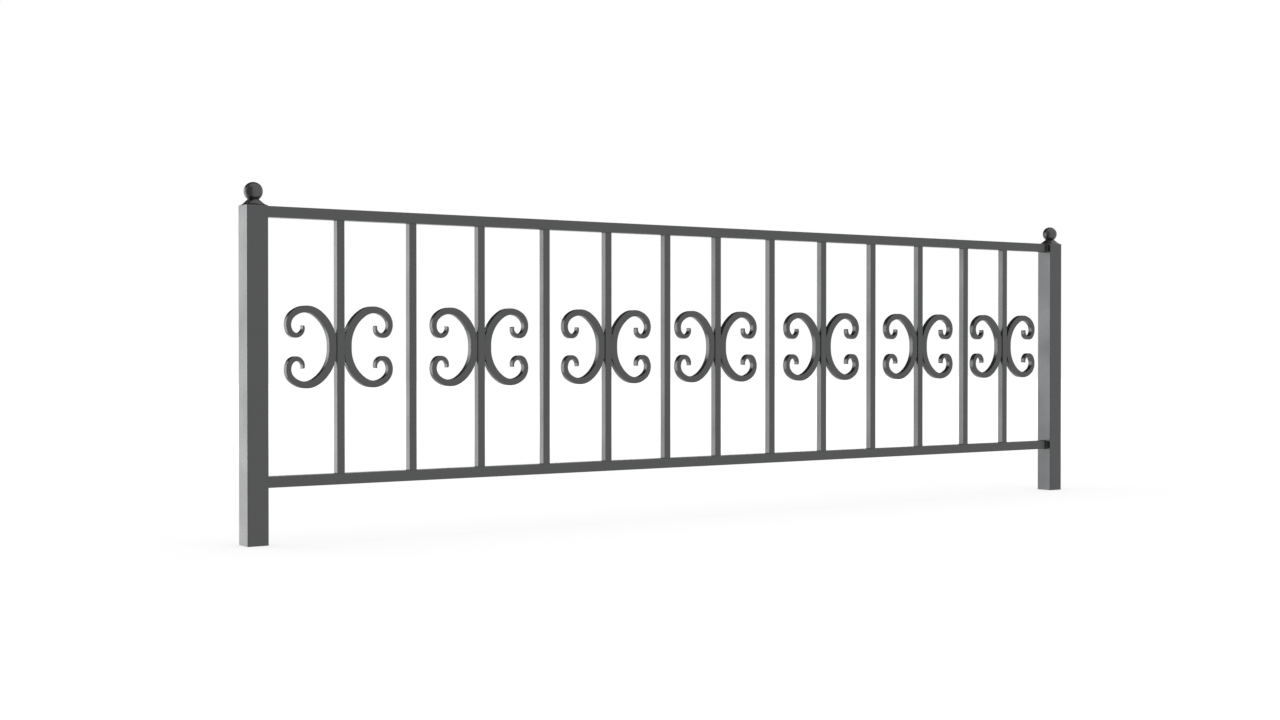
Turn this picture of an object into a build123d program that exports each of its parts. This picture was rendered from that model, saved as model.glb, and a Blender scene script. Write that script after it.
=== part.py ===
from build123d import *
import os

# Low welded fence section: two square posts with flared caps and balls,
# two rails, thirteen upright bars and seven pairs of tapered C-scrolls.
# Millimetres. The origin is the centre of the left post's foot, X runs
# along the fence to the right post, the front faces -Y and Z is up.

# Posts
post_size = 40.0
post_wall = 2.0
post_corner = 1.0
post_height = 607.0
post_spacing = 2088.6

# Rails, which butt against the posts' side faces
rail_size = 20.0
rail_wall = 1.5
rail_corner = 0.8
top_rail_drop = 0.0
ground_clearance = 102.0

# Upright bars, which butt between the rails, with every sixth bay a narrow one
bar_size = 15.0
bar_wall = 1.5
bar_corner = 0.6
bar_count = 13
end_bay = 139.7
narrow_bay = 118.4
narrow_every = 6

# Caps: a hollow round flare trimmed to the post's square outline
cap_rim = 0.6
cap_rise = 11.4
cap_wall = 2.0
flare_sag = 2.5
neck_radius = 10.0

# Balls on the necks
ball_diameter = 34.0

# C-scrolls: radius, sweep and thickness of each arc from the spine to the tip
scroll_depth = 12.0
spine_straight = 4.0
spine_thickness = 15.0
back_radius = 76.5
back_sweep_deg = 57.0
back_thickness = 12.4
crown_radius = 45.0
crown_sweep_deg = 75.0
crown_thickness = 12.0
cheek_radius = 30.5
cheek_sweep_deg = 81.0
cheek_thickness = 11.3
curl_radius = 17.0
curl_sweep_deg = 164.0
curl_thickness = 5.7

# Derived places
top_rail_z = post_height - top_rail_drop - rail_size / 2
bottom_rail_z = ground_clearance + rail_size / 2
rail_length = post_spacing - post_size
bar_length = top_rail_z - bottom_rail_z - rail_size
middle_z = (top_rail_z + bottom_rail_z) / 2
neck_top = post_height + cap_rise

# Bar centres: the bays between the two end bays and the narrow ones are equal
narrow_count = (bar_count - 1) // narrow_every
wide_count = bar_count - 1 - narrow_count
bars_and_narrow_bays = bar_count * bar_size + narrow_count * narrow_bay
wide_bay = (rail_length - 2 * end_bay - bars_and_narrow_bays) / wide_count

bar_centres = [post_size / 2 + end_bay + bar_size / 2]
for number in range(1, bar_count):
    bay = narrow_bay if number % narrow_every == 0 else wide_bay
    bar_centres.append(bar_centres[-1] + bay + bar_size)

os.makedirs("parts", exist_ok=True)


# Posts: square tube standing on the ground
for side, post_x in (("left", 0.0), ("right", post_spacing)):
    with BuildPart() as post:
        with BuildSketch(Plane((post_x, 0, 0))):
            RectangleRounded(post_size, post_size, post_corner)
            Rectangle(post_size - 2 * post_wall, post_size - 2 * post_wall, mode=Mode.SUBTRACT)
        extrude(amount=post_height)
    post.part.label = "post_" + side
    export_step(post.part, "parts/post_" + side + ".step")


# Caps: the flare is a revolved profile that reaches past the post's corners,
# so trimming it square leaves a low arch over each face of the post
def flared_block(post_x, width, corner, drop):
    reach = post_size * 2**0.5 / 2
    top = neck_top - drop
    rim = post_height + cap_rim - drop
    with BuildPart() as block:
        with BuildSketch(Plane((post_x, 0, 0), x_dir=(1, 0, 0), z_dir=(0, -1, 0))):
            with BuildLine():
                flare = SagittaArc((reach, rim), (neck_radius, top), flare_sag)
                Polyline(flare @ 1, (0, top), (0, rim - post_size), (reach, rim - post_size), flare @ 0)
            make_face()
        revolve(axis=Axis((post_x, 0, 0), (0, 0, 1)))
        with BuildSketch(Plane((post_x, 0, post_height))):
            RectangleRounded(width, width, corner)
        extrude(amount=cap_rise, mode=Mode.INTERSECT)
    return block.part


for side, post_x in (("left", 0.0), ("right", post_spacing)):
    cap_hollow = flared_block(post_x, post_size - 2 * post_wall, post_corner / 2, cap_wall)
    with BuildPart() as cap:
        add(flared_block(post_x, post_size, post_corner, 0.0))
        add(cap_hollow, mode=Mode.SUBTRACT)
    cap.part.label = "cap_" + side
    export_step(cap.part, "parts/cap_" + side + ".step")


# Balls: spheres with a flat seat as wide as the neck
ball_radius = ball_diameter / 2
ball_z = neck_top + (ball_radius**2 - neck_radius**2) ** 0.5

for side, post_x in (("left", 0.0), ("right", post_spacing)):
    with BuildPart() as ball:
        with Locations((post_x, 0, ball_z)):
            Sphere(ball_radius)
        split(bisect_by=Plane((post_x, 0, neck_top)), keep=Keep.TOP)
    ball.part.label = "ball_" + side
    export_step(ball.part, "parts/ball_" + side + ".step")


# Rails: square tube from post face to post face
for place, rail_z in (("top", top_rail_z), ("bottom", bottom_rail_z)):
    with BuildPart() as rail:
        with BuildSketch(Plane.YZ.offset(post_size / 2)):
            with Locations((0, rail_z)):
                RectangleRounded(rail_size, rail_size, rail_corner)
                Rectangle(rail_size - 2 * rail_wall, rail_size - 2 * rail_wall, mode=Mode.SUBTRACT)
        extrude(amount=rail_length)
    rail.part.label = place + "_rail"
    export_step(rail.part, "parts/" + place + "_rail.step")


# Upright bars: square tube from rail to rail
for number, bar_x in enumerate(bar_centres, start=1):
    with BuildPart() as bar:
        with BuildSketch(Plane((bar_x, 0, bottom_rail_z + rail_size / 2))):
            RectangleRounded(bar_size, bar_size, bar_corner)
            Rectangle(bar_size - 2 * bar_wall, bar_size - 2 * bar_wall, mode=Mode.SUBTRACT)
        extrude(amount=bar_length)
    bar.part.label = "bar_%02d" % number
    export_step(bar.part, "parts/bar_%02d.step" % number)


# C-scroll outline: two chains of tangent arcs sweep through the same angles from
# the middle of the spine, and each inner radius is less by that arc's thickness,
# so the band tapers to a tip that curls in on itself
spine_x = bar_size / 2
arcs = (
    (back_radius, back_thickness, back_sweep_deg),
    (crown_radius, crown_thickness, crown_sweep_deg),
    (cheek_radius, cheek_thickness, cheek_sweep_deg),
    (curl_radius, curl_thickness, curl_sweep_deg),
)

with BuildSketch() as scroll_outline:
    with BuildLine():
        outer_edge = Line((spine_x, 0), (spine_x, spine_straight))
        inner_x = spine_x + spine_thickness
        inner_edge = Line((inner_x, 0), (inner_x, spine_straight))
        for radius, thickness, sweep in arcs:
            outer_edge = JernArc(outer_edge @ 1, outer_edge % 1, radius, -sweep)
            inner_edge = JernArc(inner_edge @ 1, inner_edge % 1, radius - thickness, -sweep)
        Line(outer_edge @ 1, inner_edge @ 1)
        mirror(about=Plane.XZ)
    make_face()

# C-scrolls: back to back in pairs on every other bar, opening away from it
for pair, bar_x in enumerate(bar_centres[::2], start=1):
    for side, outward in (("left", -1), ("right", 1)):
        with BuildPart() as scroll:
            scroll_plane = Plane((bar_x, 0, middle_z), x_dir=(outward, 0, 0), z_dir=(0, -outward, 0))
            with BuildSketch(scroll_plane):
                add(scroll_outline.sketch_local)
            extrude(amount=scroll_depth / 2, both=True)
        scroll.part.label = "scroll_%02d_%s" % (pair, side)
        export_step(scroll.part, "parts/scroll_%02d_%s.step" % (pair, side))
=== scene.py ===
"""Looks of a low welded garden fence: satin graphite paint, forged scrolls, welds and a white studio.

Metres in the frame of the solids: the origin is the centre of the left post's foot, X runs along the
fence, the front faces -Y and Z is up. Posts, rails, bars and balls keep the solids' own meshes. Scrolls
and caps are made again as forged and pressed pieces, and weld metal is added where the pieces meet.
"""

import logging
import math
from abc import ABC, abstractmethod
from dataclasses import dataclass
from enum import Enum

import bmesh
import bpy
import numpy as np
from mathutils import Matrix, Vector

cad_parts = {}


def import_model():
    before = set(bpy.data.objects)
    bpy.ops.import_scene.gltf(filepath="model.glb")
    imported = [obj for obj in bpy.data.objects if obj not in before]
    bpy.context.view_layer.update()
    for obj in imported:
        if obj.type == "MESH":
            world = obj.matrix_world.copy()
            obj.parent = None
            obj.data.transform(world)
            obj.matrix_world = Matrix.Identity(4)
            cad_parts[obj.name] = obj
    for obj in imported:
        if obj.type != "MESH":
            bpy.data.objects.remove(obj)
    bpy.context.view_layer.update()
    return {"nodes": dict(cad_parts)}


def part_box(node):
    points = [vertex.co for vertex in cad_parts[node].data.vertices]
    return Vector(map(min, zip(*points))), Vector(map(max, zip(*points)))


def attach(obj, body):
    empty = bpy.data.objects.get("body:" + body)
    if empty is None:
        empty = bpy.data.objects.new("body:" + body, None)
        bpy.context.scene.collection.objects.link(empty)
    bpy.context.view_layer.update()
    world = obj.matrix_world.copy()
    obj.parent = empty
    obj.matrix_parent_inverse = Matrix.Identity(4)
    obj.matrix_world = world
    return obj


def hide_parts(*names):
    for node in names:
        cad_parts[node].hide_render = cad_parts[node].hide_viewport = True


log = logging.getLogger("fence")
MM = 0.001
BODY = "root"
QUARTER_TURN = math.pi / 2
WHITE = (1.0, 1.0, 1.0, 1.0)
BLACK = (0.0, 0.0, 0.0, 1.0)

Nodes = bpy.types.Nodes
Links = bpy.types.NodeLinks


class Choice(Enum):
    """A choice that node names spell in small letters."""

    @property
    def word(self) -> str:
        """The choice as a name spells it."""
        return self.name.lower()


class Side(Choice):
    """Which way a scroll opens from its bar, as the sign of X."""

    LEFT = -1
    RIGHT = 1


class Half(Choice):
    """The half of a scroll above or below its middle, as the sign of Z."""

    UPPER = 1
    LOWER = -1


def band_grid(rows: int, columns: int) -> np.ndarray:
    """Quads of a grid whose columns close on themselves.

    Args:
        rows: number of rings.
        columns: number of points in each ring.

    Returns:
        An array of quads, each point being ring * columns + place, wound so that a ring that
        runs anticlockwise as seen from the path's end gives faces that point outwards.
    """
    ring = np.arange(rows - 1)[:, None] * columns
    here = np.arange(columns)[None, :]
    after = (here + 1) % columns
    quads = np.stack(
        [ring + here, ring + after, ring + columns + after, ring + columns + here], axis=-1
    )
    return quads.reshape(-1, 4)


def capped_band(rows: int, columns: int) -> list[list[int]]:
    """Faces of a band of rings whose first and last ring are each closed by one face.

    Args:
        rows: number of rings.
        columns: number of points in each ring.

    Returns:
        The quads, then the face on the first ring, turned round, and the face on the last ring.
    """
    faces = band_grid(rows, columns).tolist()
    faces.append(list(range(columns))[::-1])
    faces.append(list(range((rows - 1) * columns, rows * columns)))
    return faces


def mesh_object(
    name: str, points: np.ndarray, faces: list[list[int]], smooth: bool | np.ndarray = True
) -> bpy.types.Object:
    """Put points and faces into a new object that stands at the origin.

    Args:
        name: the piece's name.
        points: an array in metres whose last axis is X, Y and Z.
        faces: index lists of the faces.
        smooth: whether the faces are shaded smooth, for all of them or for each one.

    Returns:
        The linked object.
    """
    mesh = bpy.data.meshes.new(name)
    mesh.from_pydata(points.reshape(-1, 3).tolist(), [], faces)
    mesh.polygons.foreach_set("use_smooth", np.full(len(mesh.polygons), smooth))
    mesh.update()
    piece = bpy.data.objects.new(name, mesh)
    bpy.context.scene.collection.objects.link(piece)
    return piece


def turn_outwards(piece: bpy.types.Object) -> None:
    """Turn the faces of a closed mesh outwards.

    Args:
        piece: the object whose mesh is mended.
    """
    shape = bmesh.new()
    shape.from_mesh(piece.data)
    bmesh.ops.recalc_face_normals(shape, faces=shape.faces)
    shape.to_mesh(piece.data)
    shape.free()


def place_piece(piece: bpy.types.Object, finish: bpy.types.Material) -> None:
    """Dress a piece of the fence, let it ride with the frame and report it.

    Args:
        piece: the new object.
        finish: the material that it wears.
    """
    piece.data.materials.append(finish)
    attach(piece, BODY)
    log.info("%s: %d faces", piece.name, len(piece.data.polygons))


def greater(
    nodes: Nodes, links: Links, first: bpy.types.NodeSocket, second: bpy.types.NodeSocket
) -> bpy.types.NodeSocket:
    """Add a node that gives the greater of two values.

    Args:
        nodes: the nodes of the material or world.
        links: its links.
        first: one value.
        second: the other value.

    Returns:
        The node's output.
    """
    node = nodes.new("ShaderNodeMath")
    node.operation = "MAXIMUM"
    links.new(first, node.inputs[0])
    links.new(second, node.inputs[1])
    return node.outputs["Value"]


def seen_directly(nodes: Nodes, links: Links) -> bpy.types.NodeSocket:
    """Add a switch that is 1 for what the camera and reflections see, and 0 for what lights the fence.

    Args:
        nodes: the nodes of the material or world.
        links: its links.

    Returns:
        The switch's output.
    """
    path = nodes.new("ShaderNodeLightPath")
    bounced = greater(nodes, links, path.outputs["Is Glossy Ray"], path.outputs["Is Transmission Ray"])
    return greater(nodes, links, path.outputs["Is Camera Ray"], bounced)


@dataclass(frozen=True)
class SatinPaint:
    """Baked satin paint over steel, with a faint orange peel and slight changes of sheen."""

    name: str = "graphite_satin_paint"
    colour: tuple[float, float, float] = (0.093, 0.094, 0.096)
    metallic: float = 0.85
    roughness: float = 0.3
    specular: float = 0.5
    peel_scale: float = 520.0
    peel_detail: float = 2.0
    peel_depth: float = 0.01 * MM
    peel_strength: float = 0.5
    sheen_scale: float = 9.0
    sheen_detail: float = 3.0
    sheen_low: float = 0.3
    sheen_high: float = 0.7
    sheen_change: float = 0.05

    def add_sheen(self, nodes: Nodes, links: Links, place: bpy.types.NodeSocket) -> None:
        """Let the roughness drift around its mean with a wide cloudy noise.

        Args:
            nodes: the material's nodes.
            links: its links.
            place: the Object coordinates.
        """
        cloud = nodes.new("ShaderNodeTexNoise")
        cloud.inputs["Scale"].default_value = self.sheen_scale
        cloud.inputs["Detail"].default_value = self.sheen_detail
        links.new(place, cloud.inputs["Vector"])
        spread = nodes.new("ShaderNodeMapRange")
        spread.inputs["From Min"].default_value = self.sheen_low
        spread.inputs["From Max"].default_value = self.sheen_high
        spread.inputs["To Min"].default_value = self.roughness - self.sheen_change
        spread.inputs["To Max"].default_value = self.roughness + self.sheen_change
        links.new(cloud.outputs["Fac"], spread.inputs["Value"])
        links.new(spread.outputs["Result"], nodes["Principled BSDF"].inputs["Roughness"])

    def add_peel(self, nodes: Nodes, links: Links, place: bpy.types.NodeSocket) -> None:
        """Add the fine bumps of a baked coat.

        Args:
            nodes: the material's nodes.
            links: its links.
            place: the Object coordinates.
        """
        peel = nodes.new("ShaderNodeTexNoise")
        peel.inputs["Scale"].default_value = self.peel_scale
        peel.inputs["Detail"].default_value = self.peel_detail
        links.new(place, peel.inputs["Vector"])
        bump = nodes.new("ShaderNodeBump")
        bump.inputs["Strength"].default_value = self.peel_strength
        bump.inputs["Distance"].default_value = self.peel_depth
        links.new(peel.outputs["Fac"], bump.inputs["Height"])
        links.new(bump.outputs["Normal"], nodes["Principled BSDF"].inputs["Normal"])

    def material(self) -> bpy.types.Material:
        """Build the paint's nodes on Object coordinates.

        Returns:
            The material.
        """
        material = bpy.data.materials.new(self.name)
        material.use_nodes = True
        nodes = material.node_tree.nodes
        links = material.node_tree.links
        surface = nodes["Principled BSDF"]
        surface.inputs["Base Color"].default_value = (*self.colour, 1.0)
        surface.inputs["Metallic"].default_value = self.metallic
        surface.inputs["Specular IOR Level"].default_value = self.specular
        place = nodes.new("ShaderNodeTexCoord").outputs["Object"]
        self.add_sheen(nodes, links, place)
        self.add_peel(nodes, links, place)
        return material


@dataclass(frozen=True)
class PaperFloor:
    """A pale matt floor that keeps soft shadows and is white elsewhere, as the backdrop is."""

    name: str = "studio_floor_white"
    albedo: float = 0.3
    lift: float = 0.72
    far_lift: float = 1.0
    centre: tuple[float, float] = (1.04, 0.0)
    near: float = 1.2
    far: float = 4.5

    def material(self) -> bpy.types.Material:
        """Build a diffuse surface with a white lift that shows and doesn't light the fence.

        The lift grows with the distance from the fence, so the floor runs out into the backdrop.

        Returns:
            The material.
        """
        material = bpy.data.materials.new(self.name)
        material.use_nodes = True
        nodes = material.node_tree.nodes
        links = material.node_tree.links
        surface = nodes["Principled BSDF"]
        surface.inputs["Base Color"].default_value = (self.albedo, self.albedo, self.albedo, 1.0)
        surface.inputs["Roughness"].default_value = 1.0
        surface.inputs["Specular IOR Level"].default_value = 0.0
        surface.inputs["Emission Color"].default_value = WHITE
        place = nodes.new("ShaderNodeTexCoord")
        centred = nodes.new("ShaderNodeMapping")
        centred.inputs["Location"].default_value = (-self.centre[0], -self.centre[1], 0.0)
        links.new(place.outputs["Object"], centred.inputs["Vector"])
        away = nodes.new("ShaderNodeVectorMath")
        away.operation = "LENGTH"
        links.new(centred.outputs["Vector"], away.inputs[0])
        fade = nodes.new("ShaderNodeMapRange")
        fade.interpolation_type = "SMOOTHSTEP"
        fade.inputs["From Min"].default_value = self.near
        fade.inputs["From Max"].default_value = self.far
        fade.inputs["To Min"].default_value = self.lift
        fade.inputs["To Max"].default_value = self.far_lift
        links.new(away.outputs["Value"], fade.inputs["Value"])
        light = nodes.new("ShaderNodeMath")
        light.operation = "MULTIPLY"
        links.new(seen_directly(nodes, links), light.inputs[0])
        links.new(fade.outputs["Result"], light.inputs[1])
        links.new(light.outputs["Value"], surface.inputs["Emission Strength"])
        return material


@dataclass(frozen=True)
class RemadePiece(ABC):
    """A piece that is made again and takes the place of a solid's node."""

    node: str

    @abstractmethod
    def build(self) -> bpy.types.Object:
        """Make the piece's object."""

    def dress(self, finish: bpy.types.Material) -> None:
        """Build the piece and put it in the node's place.

        Args:
            finish: the paint.
        """
        piece = self.build()
        place_piece(piece, finish)
        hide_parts(self.node)


@dataclass(frozen=True)
class ScrollArc:
    """One arc of a scroll's outer edge, with the band's thickness there and the angle it sweeps."""

    radius: float
    thickness: float
    sweep_deg: float


@dataclass(frozen=True)
class ScrollForm:
    """The sizes of a scroll that its band and the weld metal beside it share.

    The band is 0.3 to 0.5 mm thicker on its inner side than the solid's, because a dark band
    looks thinner on white than it is.
    """

    bar_half: float = 7.5 * MM
    spine_straight: float = 4.0 * MM
    spine_thickness: float = 15.0 * MM
    arcs: tuple[ScrollArc, ...] = (
        ScrollArc(76.5 * MM, 12.7 * MM, 57.0),
        ScrollArc(45.0 * MM, 12.4 * MM, 75.0),
        ScrollArc(30.5 * MM, 11.8 * MM, 81.0),
        ScrollArc(17.0 * MM, 6.2 * MM, 164.0),
    )


@dataclass(frozen=True)
class ScrollSeat:
    """Where a scroll sits: its bar's centre, the height of its middle and the side it opens to."""

    bar_centre: float
    middle: float
    side: Side

    def place(self, away: np.ndarray, depth: np.ndarray, rise: np.ndarray) -> np.ndarray:
        """Put points measured from the bar's centre and the scroll's middle into the fence's frame.

        X is the bar's centre plus the side's sign times the distance away, and Z is the middle
        plus the rise.

        Args:
            away: distances from the bar's centre.
            depth: distances from the fence's middle plane.
            rise: heights above the scroll's middle.

        Returns:
            The points, with X, Y and Z on the last axis.
        """
        return np.stack(
            [self.bar_centre + self.side.value * away, depth, self.middle + rise], axis=-1
        )


@dataclass(frozen=True)
class ForgedScroll(RemadePiece):
    """A C-scroll of bent bar that tapers to its tips and has softened edges."""

    seat: ScrollSeat
    form: ScrollForm = ScrollForm()
    depth: float = 12.0 * MM
    edge_radius: float = 0.5 * MM
    edge_share: float = 0.4
    tip_share: float = 0.55
    degrees_a_ring: float = 3.0
    spine_points: int = 3
    corner_steps: int = 4

    def edge(self, start: float, inner: bool) -> np.ndarray:
        """Points along the upper half of one edge, from the middle of the spine to the tip.

        Each arc starts where the last ended, on a centre at one radius to the right of the
        heading, and a point is the centre minus the radius times that right-hand direction.

        Args:
            start: distance of the edge from the bar's centre at the spine.
            inner: whether it is the inner edge, whose radii are less by the thickness.

        Returns:
            An N by 2 array of distance from the bar's centre and height above the middle.
        """
        straight = np.linspace(0.0, self.form.spine_straight, self.spine_points)
        runs = [np.stack([np.full(self.spine_points, start), straight], axis=1)]
        heading = QUARTER_TURN
        for arc in self.form.arcs:
            radius = arc.radius - (arc.thickness if inner else 0.0)
            right = np.array([math.sin(heading), -math.cos(heading)])
            centre = runs[-1][-1] + radius * right
            steps = round(arc.sweep_deg / self.degrees_a_ring)
            turn = heading - np.radians(arc.sweep_deg) * np.arange(1, steps + 1) / steps
            runs.append(centre - radius * np.stack([np.sin(turn), -np.cos(turn)], axis=1))
            heading = turn[-1]
        return np.vstack(runs)

    def section(self, half_widths: np.ndarray, half_depth: float, radius: np.ndarray) -> np.ndarray:
        """Rounded rectangles, one for each ring, with corners of quarter circles.

        A corner's centre lies one radius inside both sides, and its points lie one radius from
        that centre at angles over a quarter turn.

        Args:
            half_widths: half of the band's thickness at each ring.
            half_depth: half of its depth.
            radius: the corner radius at each ring.

        Returns:
            An array of rings by points by 2: across the band and along its depth.
        """
        quarter = np.linspace(0.0, QUARTER_TURN, self.corner_steps + 1)
        angles = (quarter[None, :] + np.arange(4)[:, None] * QUARTER_TURN).ravel()
        corners = np.array([[1, 1], [-1, 1], [-1, -1], [1, -1]]).repeat(len(quarter), axis=0)
        across = corners[:, 0] * (half_widths - radius)[:, None] + np.cos(angles) * radius[:, None]
        along = corners[:, 1] * (half_depth - radius)[:, None] + np.sin(angles) * radius[:, None]
        return np.stack([across, along], axis=-1)

    def build(self) -> bpy.types.Object:
        """Carry the rounded section along both halves of the band.

        A ring's centre is halfway between the two edges, its width is their distance, and its
        across direction points from the outer edge to the inner one. The lower half is the
        upper one with its heights turned over, and each tip is closed by a ring that is drawn in.

        Returns:
            The scroll.
        """
        outer = self.edge(self.form.bar_half, inner=False)
        inner = self.edge(self.form.bar_half + self.form.spine_thickness, inner=True)
        flip = np.array([1.0, -1.0])
        outer = np.vstack([outer[:0:-1] * flip, outer])
        inner = np.vstack([inner[:0:-1] * flip, inner])
        middle = (outer + inner) / 2
        across = inner - outer
        width = np.linalg.norm(across, axis=1)
        across = across / width[:, None]
        half_depth = self.depth / 2
        tip = self.tip_share * self.edge_radius
        inset = np.zeros(len(middle))
        inset[[0, -1]] = tip
        radius = np.minimum(self.edge_radius, self.edge_share * (width / 2 - inset))
        ring = self.section(width / 2 - inset, half_depth, radius)
        ring[[0, -1], :, 1] *= 1 - tip / half_depth

        plane = middle[:, None, :] + ring[:, :, :1] * across[:, None, :]
        points = self.seat.place(plane[..., 0], ring[..., 1], plane[..., 1])
        # The left side mirrors the band, so its rings run the other way round
        if self.seat.side is Side.LEFT:
            points = points[:, ::-1]
        return mesh_object(f"forged_{self.node}", points, capped_band(*ring.shape[:2]))


@dataclass(frozen=True)
class FlaredCap(RemadePiece):
    """A pressed cap that flares from a round neck to the post's square rim."""

    neck_radius: float = 10.0 * MM
    rim: float = 0.1 * MM
    cone_share: float = 0.6
    rim_power: float = 7.0
    rounding: float = 2.3
    squarest: float = 0.012
    roundest: float = 0.5
    rings: int = 28
    ring_crowding: float = 1.3
    points_a_ring: int = 128

    def build(self) -> bpy.types.Object:
        """Stack rings that change from a square to a circle.

        With s as what is left of the height, the reach w over a face is the neck's radius plus
        the rest of the half width times a cone's share of s and a rim's share of s to a high
        power, which gives a flat rim and a steep cone. Each ring is the superellipse
        |x/w|^n + |y/w|^n = 1, where 1/n grows from nearly 0, a square, to 1/2, a circle. The
        lowest ring is the rim's foot, and the rim and the two end faces are shaded flat.

        Returns:
            The cap.
        """
        low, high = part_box(self.node)
        centre = (low + high) / 2
        half = (high[0] - low[0]) / 2
        left = np.r_[1.0, np.linspace(1.0, 0.0, self.rings) ** self.ring_crowding]
        flare = self.cone_share * left + (1 - self.cone_share) * left**self.rim_power
        reach = self.neck_radius + (half - self.neck_radius) * flare
        height = high[2] - (high[2] - low[2] - self.rim) * left
        height[0] = low[2]
        inverse = self.squarest + (self.roundest - self.squarest) * (1 - left) ** self.rounding
        inverse = inverse[:, None]
        angle = np.linspace(0.0, 2 * math.pi, self.points_a_ring, endpoint=False)
        cosine, sine = np.cos(angle)[None, :], np.sin(angle)[None, :]
        stretch = np.abs(cosine) ** (1 / inverse) + np.abs(sine) ** (1 / inverse)
        radius = reach[:, None] / stretch**inverse
        points = np.empty((*radius.shape, 3))
        points[..., 0] = centre[0] + radius * cosine
        points[..., 1] = centre[1] + radius * sine
        points[..., 2] = height[:, None]
        faces = capped_band(*radius.shape)
        smooth = np.arange(len(faces)) >= self.points_a_ring
        smooth[-2:] = False
        return mesh_object(f"flared_{self.node}", points, faces, smooth)


@dataclass(frozen=True)
class WeldFillet:
    """A concave weld bead around the end of a square tube that butts on a flat face."""

    name: str
    centre: np.ndarray
    axis: int
    direction: int
    half: float
    seed: int
    leg: float = 0.8 * MM
    corner: float = 0.8 * MM
    bite: float = 0.25
    ripple: float = 0.10
    ripple_length: float = 2.2 * MM
    phase_limit: float = 6.0
    side_steps: int = 26
    corner_steps: int = 4
    profile_steps: int = 5

    def path(self) -> np.ndarray:
        """The tube's outline, a rounded square made of four turned copies of a side and a corner.

        Returns:
            An N by 2 array around the tube's axis.
        """
        straight = self.half - self.corner
        along = np.linspace(-1.0, 1.0, self.side_steps, endpoint=False) * straight
        run = np.stack([np.full_like(along, self.half), along], axis=1)
        bend = np.linspace(0.0, QUARTER_TURN, self.corner_steps, endpoint=False)
        arc = straight + self.corner * np.stack([np.cos(bend), np.sin(bend)], axis=1)
        side = np.vstack([run, arc])
        turns = [quarter * QUARTER_TURN for quarter in range(4)]
        spins = [[[math.cos(t), math.sin(t)], [-math.sin(t), math.cos(t)]] for t in turns]
        return np.vstack([side @ np.array(spin) for spin in spins])

    def build(self) -> bpy.types.Object:
        """Carry a concave quarter profile around the tube's outline.

        At each point the bead reaches a leg's length out along the face and a leg's length up
        the tube, joined by a hollow quarter circle, and bites into the tube by a share of the
        leg. The leg swells and shrinks as one plus the ripple times a sine of the path's length.

        Returns:
            The bead.
        """
        rng = np.random.default_rng(self.seed)
        path = self.path()
        step = np.roll(path, -1, axis=0) - np.roll(path, 1, axis=0)
        outward = np.stack([step[:, 1], -step[:, 0]], axis=1)
        outward /= np.linalg.norm(outward, axis=1)[:, None]
        length = np.cumsum(np.linalg.norm(np.diff(path, axis=0, append=path[:1]), axis=1))
        phase = rng.uniform(0, self.phase_limit)
        leg = self.leg * (1 + self.ripple * np.sin(2 * math.pi * length / self.ripple_length + phase))

        hollow = np.linspace(0.0, QUARTER_TURN, self.profile_steps)
        out = np.r_[1 - np.sin(hollow), -self.bite, -self.bite]
        up = np.r_[1 - np.cos(hollow), 1.0, 0.0]
        plane = path[:, None, :] + outward[:, None, :] * (out[None, :] * leg[:, None])[..., None]
        height = up[None, :] * leg[:, None]
        first, second = [index for index in range(3) if index != self.axis]
        points = np.empty((*height.shape, 3))
        points[..., first] = self.centre[first] + plane[..., 0]
        points[..., second] = self.centre[second] + plane[..., 1]
        points[..., self.axis] = self.centre[self.axis] + self.direction * height
        rows, columns = height.shape
        # One ring more than there is, taken round to the first, closes the bead on itself
        quads = band_grid(rows + 1, columns) % (rows * columns)
        piece = mesh_object(self.name, points, quads.tolist())
        turn_outwards(piece)
        return piece


@dataclass(frozen=True)
class CrotchWeld:
    """Weld metal that fills the narrow crotch between a bar's side and a scroll's back."""

    name: str
    seat: ScrollSeat
    half: Half
    form: ScrollForm = ScrollForm()
    reach: float = 26.0 * MM
    depth: float = 11.0 * MM
    overlap: float = 0.4 * MM
    face_hollow: float = 0.5 * MM
    mouth_hollow: float = 1.6 * MM
    mouth_power: int = 6
    rows: int = 30
    columns: int = 9

    def build(self) -> bpy.types.Object:
        """Fill the crotch from the spine to its mouth.

        At each height the fill reaches from the bar's side to the scroll's back, which leaves
        the bar by the radius minus the root of the radius squared less the height squared. Its
        front and back are slightly hollow across the gap, as a parabola is, and its mouth is too.

        Returns:
            The fill.
        """
        form = self.form
        back_radius = form.arcs[0].radius
        share = np.linspace(0.0, 1.0, self.rows)
        height = form.spine_straight + (self.reach - form.spine_straight) * share
        rise = height - form.spine_straight
        gap = back_radius - np.sqrt(back_radius**2 - rise**2)
        low = form.bar_half - self.overlap
        high = form.bar_half + gap + self.overlap
        across = np.linspace(0.0, 1.0, self.columns)
        away = low + (high - low)[:, None] * across[None, :]
        hollow = 1 - (2 * across - 1) ** 2
        dip = (hollow * self.mouth_hollow)[None, :] * share[:, None] ** self.mouth_power
        level = height[:, None] - dip
        thick = self.depth / 2 - self.face_hollow * hollow[None, :] * share[:, None]
        front = np.stack([away, -thick, level], axis=-1)
        back = np.stack([away[:, ::-1], thick[:, ::-1], level[:, ::-1]], axis=-1)
        ring = np.concatenate([front, back], axis=1)
        points = self.seat.place(ring[..., 0], ring[..., 1], self.half.value * ring[..., 2])
        piece = mesh_object(self.name, points, capped_band(*ring.shape[:2]))
        turn_outwards(piece)
        return piece


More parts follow.
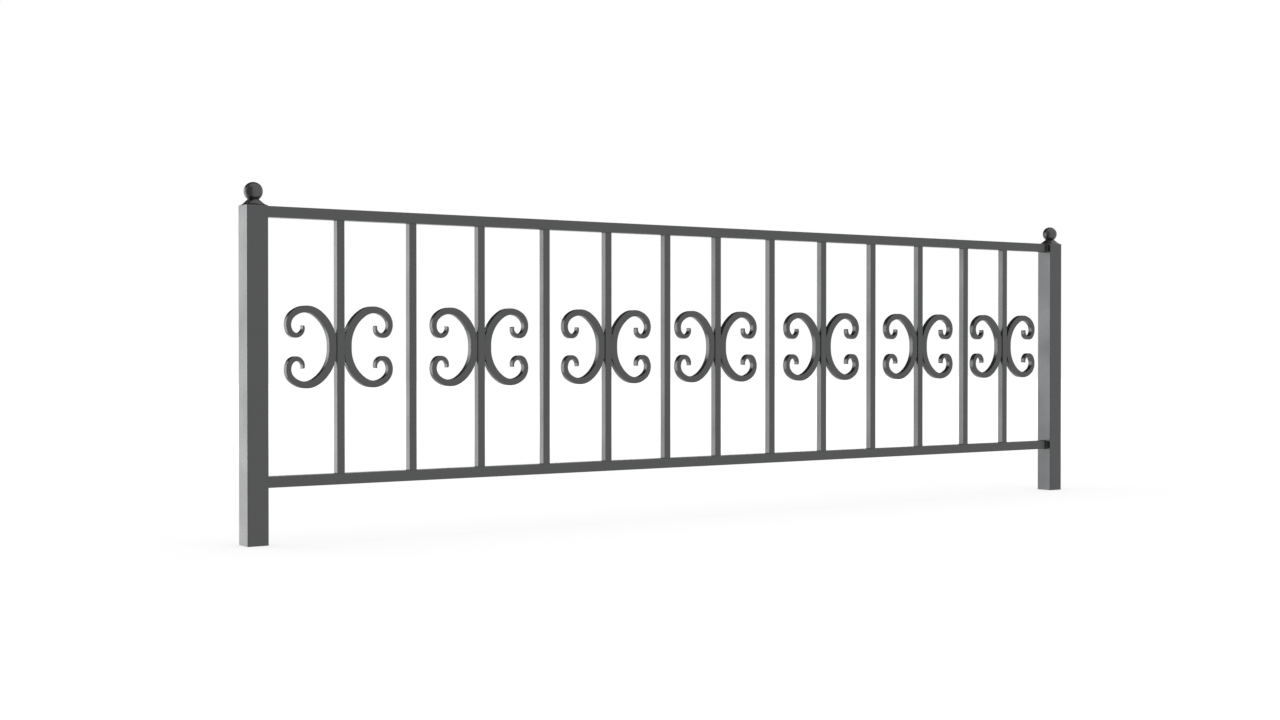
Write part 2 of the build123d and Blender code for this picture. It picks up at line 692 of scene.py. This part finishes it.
@dataclass(frozen=True)
class FencePanel:
    """The fence's nodes, read from the frame, and the pieces that dress them."""

    nodes: dict[str, bpy.types.Object]
    paint: SatinPaint = SatinPaint()
    caps: tuple[str, ...] = ("cap_left", "cap_right")
    rails: tuple[str, ...] = ("top_rail", "bottom_rail")

    def bar_names(self) -> list[str]:
        """The upright bars' nodes from left to right."""
        return sorted(name for name in self.nodes if name.startswith("bar_"))

    def scroll_names(self) -> list[str]:
        """The scrolls' nodes in order."""
        return sorted(name for name in self.nodes if name.startswith("scroll_"))

    def paint_frame(self, finish: bpy.types.Material) -> None:
        """Give the solids' own meshes the paint.

        Args:
            finish: the paint.
        """
        for name, node in self.nodes.items():
            for place in node.material_slots:
                place.material = finish
            log.info("%s: painted", name)

    def dress_scrolls(self, finish: bpy.types.Material) -> None:
        """Forge each scroll on its own bar, every other one, and fill the crotches beside it.

        Args:
            finish: the paint.
        """
        bars = self.bar_names()[::2]
        for name in self.scroll_names():
            _, pair, word = name.split("_")
            low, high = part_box(bars[int(pair) - 1])
            bar_centre = (low[0] + high[0]) / 2
            low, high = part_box(name)
            seat = ScrollSeat(bar_centre, (low[2] + high[2]) / 2, Side[word.upper()])
            ForgedScroll(name, seat).dress(finish)
            for half in Half:
                weld = CrotchWeld(f"crotch_weld_{pair}_{word}_{half.word}", seat, half)
                place_piece(weld.build(), finish)

    def tube_beads(self) -> list[WeldFillet]:
        """Set out a bead for each end of the rails, which lie along X, and the bars, along Z.

        Returns:
            The beads, rails first, each seeded by its place in the list.
        """
        tubes = [(name, 0, ("left", "right")) for name in self.rails]
        tubes += [(name, 2, ("low", "high")) for name in self.bar_names()]
        beads = []
        for name, axis, words in tubes:
            low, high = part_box(name)
            across = 2 - axis
            half = (high[across] - low[across]) / 2
            for word, direction, end in zip(words, (1, -1), (low, high)):
                centre = (low + high) / 2
                centre[axis] = end[axis]
                label = f"weld_{name}_{word}"
                beads.append(WeldFillet(label, centre, axis, direction, half, len(beads)))
        return beads

    def build(self) -> None:
        """Paint the frame and add the forged, pressed and welded pieces."""
        finish = self.paint.material()
        self.paint_frame(finish)
        for name in self.caps:
            FlaredCap(name).dress(finish)
        self.dress_scrolls(finish)
        for bead in self.tube_beads():
            place_piece(bead.build(), finish)


@dataclass(frozen=True)
class Panel:
    """A soft box: a rectangle of light that faces a point."""

    name: str
    place: tuple[float, float, float]
    target: tuple[float, float, float]
    width: float
    height: float
    strength: float
    mirrored: bool = True

    def hang(self) -> None:
        """Hang the soft box and turn it to its target.

        Its power is its strength times pi times its area. It looks down its own -Z, so it is
        tipped up by the angle between straight down and the target, then turned about Z.
        """
        lamp = bpy.data.lights.new(self.name, "AREA")
        lamp.shape = "RECTANGLE"
        lamp.size = self.width
        lamp.size_y = self.height
        lamp.energy = self.strength * math.pi * self.width * self.height
        box = bpy.data.objects.new(self.name, lamp)
        bpy.context.scene.collection.objects.link(box)
        box.location = self.place
        way = np.array(self.target) - np.array(self.place)
        flat = math.hypot(way[0], way[1])
        box.rotation_euler = (math.atan2(flat, -way[2]), 0.0, math.atan2(-way[0], way[1]))
        box.visible_camera = False
        box.visible_glossy = self.mirrored


@dataclass(frozen=True)
class Flag:
    """A cloth that the camera doesn't see and that darkens what polished paint mirrors."""

    name: str
    corners: tuple[tuple[float, float, float], ...]
    level: float

    def hang(self) -> None:
        """Hang the cloth between its four corners."""
        material = bpy.data.materials.new(self.name)
        material.use_nodes = True
        surface = material.node_tree.nodes["Principled BSDF"]
        surface.inputs["Base Color"].default_value = BLACK
        surface.inputs["Roughness"].default_value = 1.0
        surface.inputs["Specular IOR Level"].default_value = 0.0
        surface.inputs["Emission Color"].default_value = WHITE
        surface.inputs["Emission Strength"].default_value = self.level
        cloth = mesh_object(self.name, np.array(self.corners), [[0, 1, 2, 3]], smooth=False)
        cloth.data.materials.append(material)
        cloth.visible_camera = False
        cloth.visible_shadow = False
        cloth.visible_diffuse = False


@dataclass(frozen=True)
class Studio:
    """A white studio with soft boxes and a camera near the height of the fence's middle."""

    floor: PaperFloor = PaperFloor()
    floor_half: float = 12.0
    ambient: float = 0.55
    panels: tuple[Panel, ...] = (
        Panel("soft_box_back_left", (-2.36, 3.98, 0.5), (1.0, 0.0, 0.5), 2.2, 4.4, 2.8),
        Panel("soft_box_front", (2.6, -5.0, 2.4), (1.0, 0.0, 0.3), 4.0, 3.0, 1.4, mirrored=False),
        Panel("soft_box_top", (1.0, 0.2, 3.4), (1.0, 0.0, 0.0), 4.5, 2.5, 1.6, mirrored=False),
    )
    flags: tuple[Flag, ...] = (
        Flag(
            "flag_left",
            ((-2.0, -3.5, -4.0), (-2.6, 1.0, -4.0), (-2.6, 1.0, 5.0), (-2.0, -3.5, 5.0)),
            level=0.3,
        ),
        Flag(
            "flag_back",
            ((-5.0, 6.5, 1.8), (9.0, 6.5, 1.8), (9.0, 2.4, 7.2), (-5.0, 2.4, 7.2)),
            level=0.03,
        ),
    )
    camera_place: tuple[float, float, float] = (-1.2378, -2.9432, 0.3588)
    camera_yaw: float = 0.6160
    camera_pitch: float = -0.0088
    lens_mm: float = 49.09
    sensor_mm: float = 36.0
    sight: float = 60.0

    def build_floor(self) -> None:
        """Lay the floor at the foot of the posts, out of what the polished paint mirrors."""
        corners = np.array([[-1, -1, 0], [1, -1, 0], [1, 1, 0], [-1, 1, 0]], float) * self.floor_half
        corners[:, 0] += self.floor.centre[0]
        sheet = mesh_object("studio_floor", corners, [[0, 1, 2, 3]], smooth=False)
        sheet.data.materials.append(self.floor.material())
        sheet.visible_glossy = False

    def build_world(self) -> None:
        """White where the camera and reflections look, softer where it lights the fence."""
        world = bpy.data.worlds.new("studio_white")
        bpy.context.scene.world = world
        world.use_nodes = True
        nodes = world.node_tree.nodes
        links = world.node_tree.links
        back = nodes["Background"]
        back.inputs["Color"].default_value = WHITE
        level = nodes.new("ShaderNodeMapRange")
        level.inputs["To Min"].default_value = self.ambient
        level.inputs["To Max"].default_value = 1.0
        links.new(seen_directly(nodes, links), level.inputs["Value"])
        links.new(level.outputs["Result"], back.inputs["Strength"])

    def build_camera(self) -> None:
        """Stand the camera where the photograph was taken from."""
        data = bpy.data.cameras.new("camera")
        data.lens = self.lens_mm
        data.sensor_width = self.sensor_mm
        data.clip_end = self.sight
        camera = bpy.data.objects.new("camera", data)
        bpy.context.scene.collection.objects.link(camera)
        camera.location = self.camera_place
        camera.rotation_euler = (QUARTER_TURN + self.camera_pitch, 0.0, -self.camera_yaw)
        bpy.context.scene.camera = camera

    def build(self) -> None:
        """Set up the floor, the light and the camera."""
        self.build_floor()
        self.build_world()
        for hung in (*self.panels, *self.flags):
            hung.hang()
        self.build_camera()
        bpy.context.scene.view_settings.view_transform = "Standard"


def main() -> None:
    """Load the frame, dress the fence and set up the studio."""
    logging.basicConfig(level=logging.INFO, format="%(name)s %(message)s")
    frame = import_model()
    FencePanel(frame["nodes"]).build()
    Studio().build()


if __name__ == "__main__":
    main()
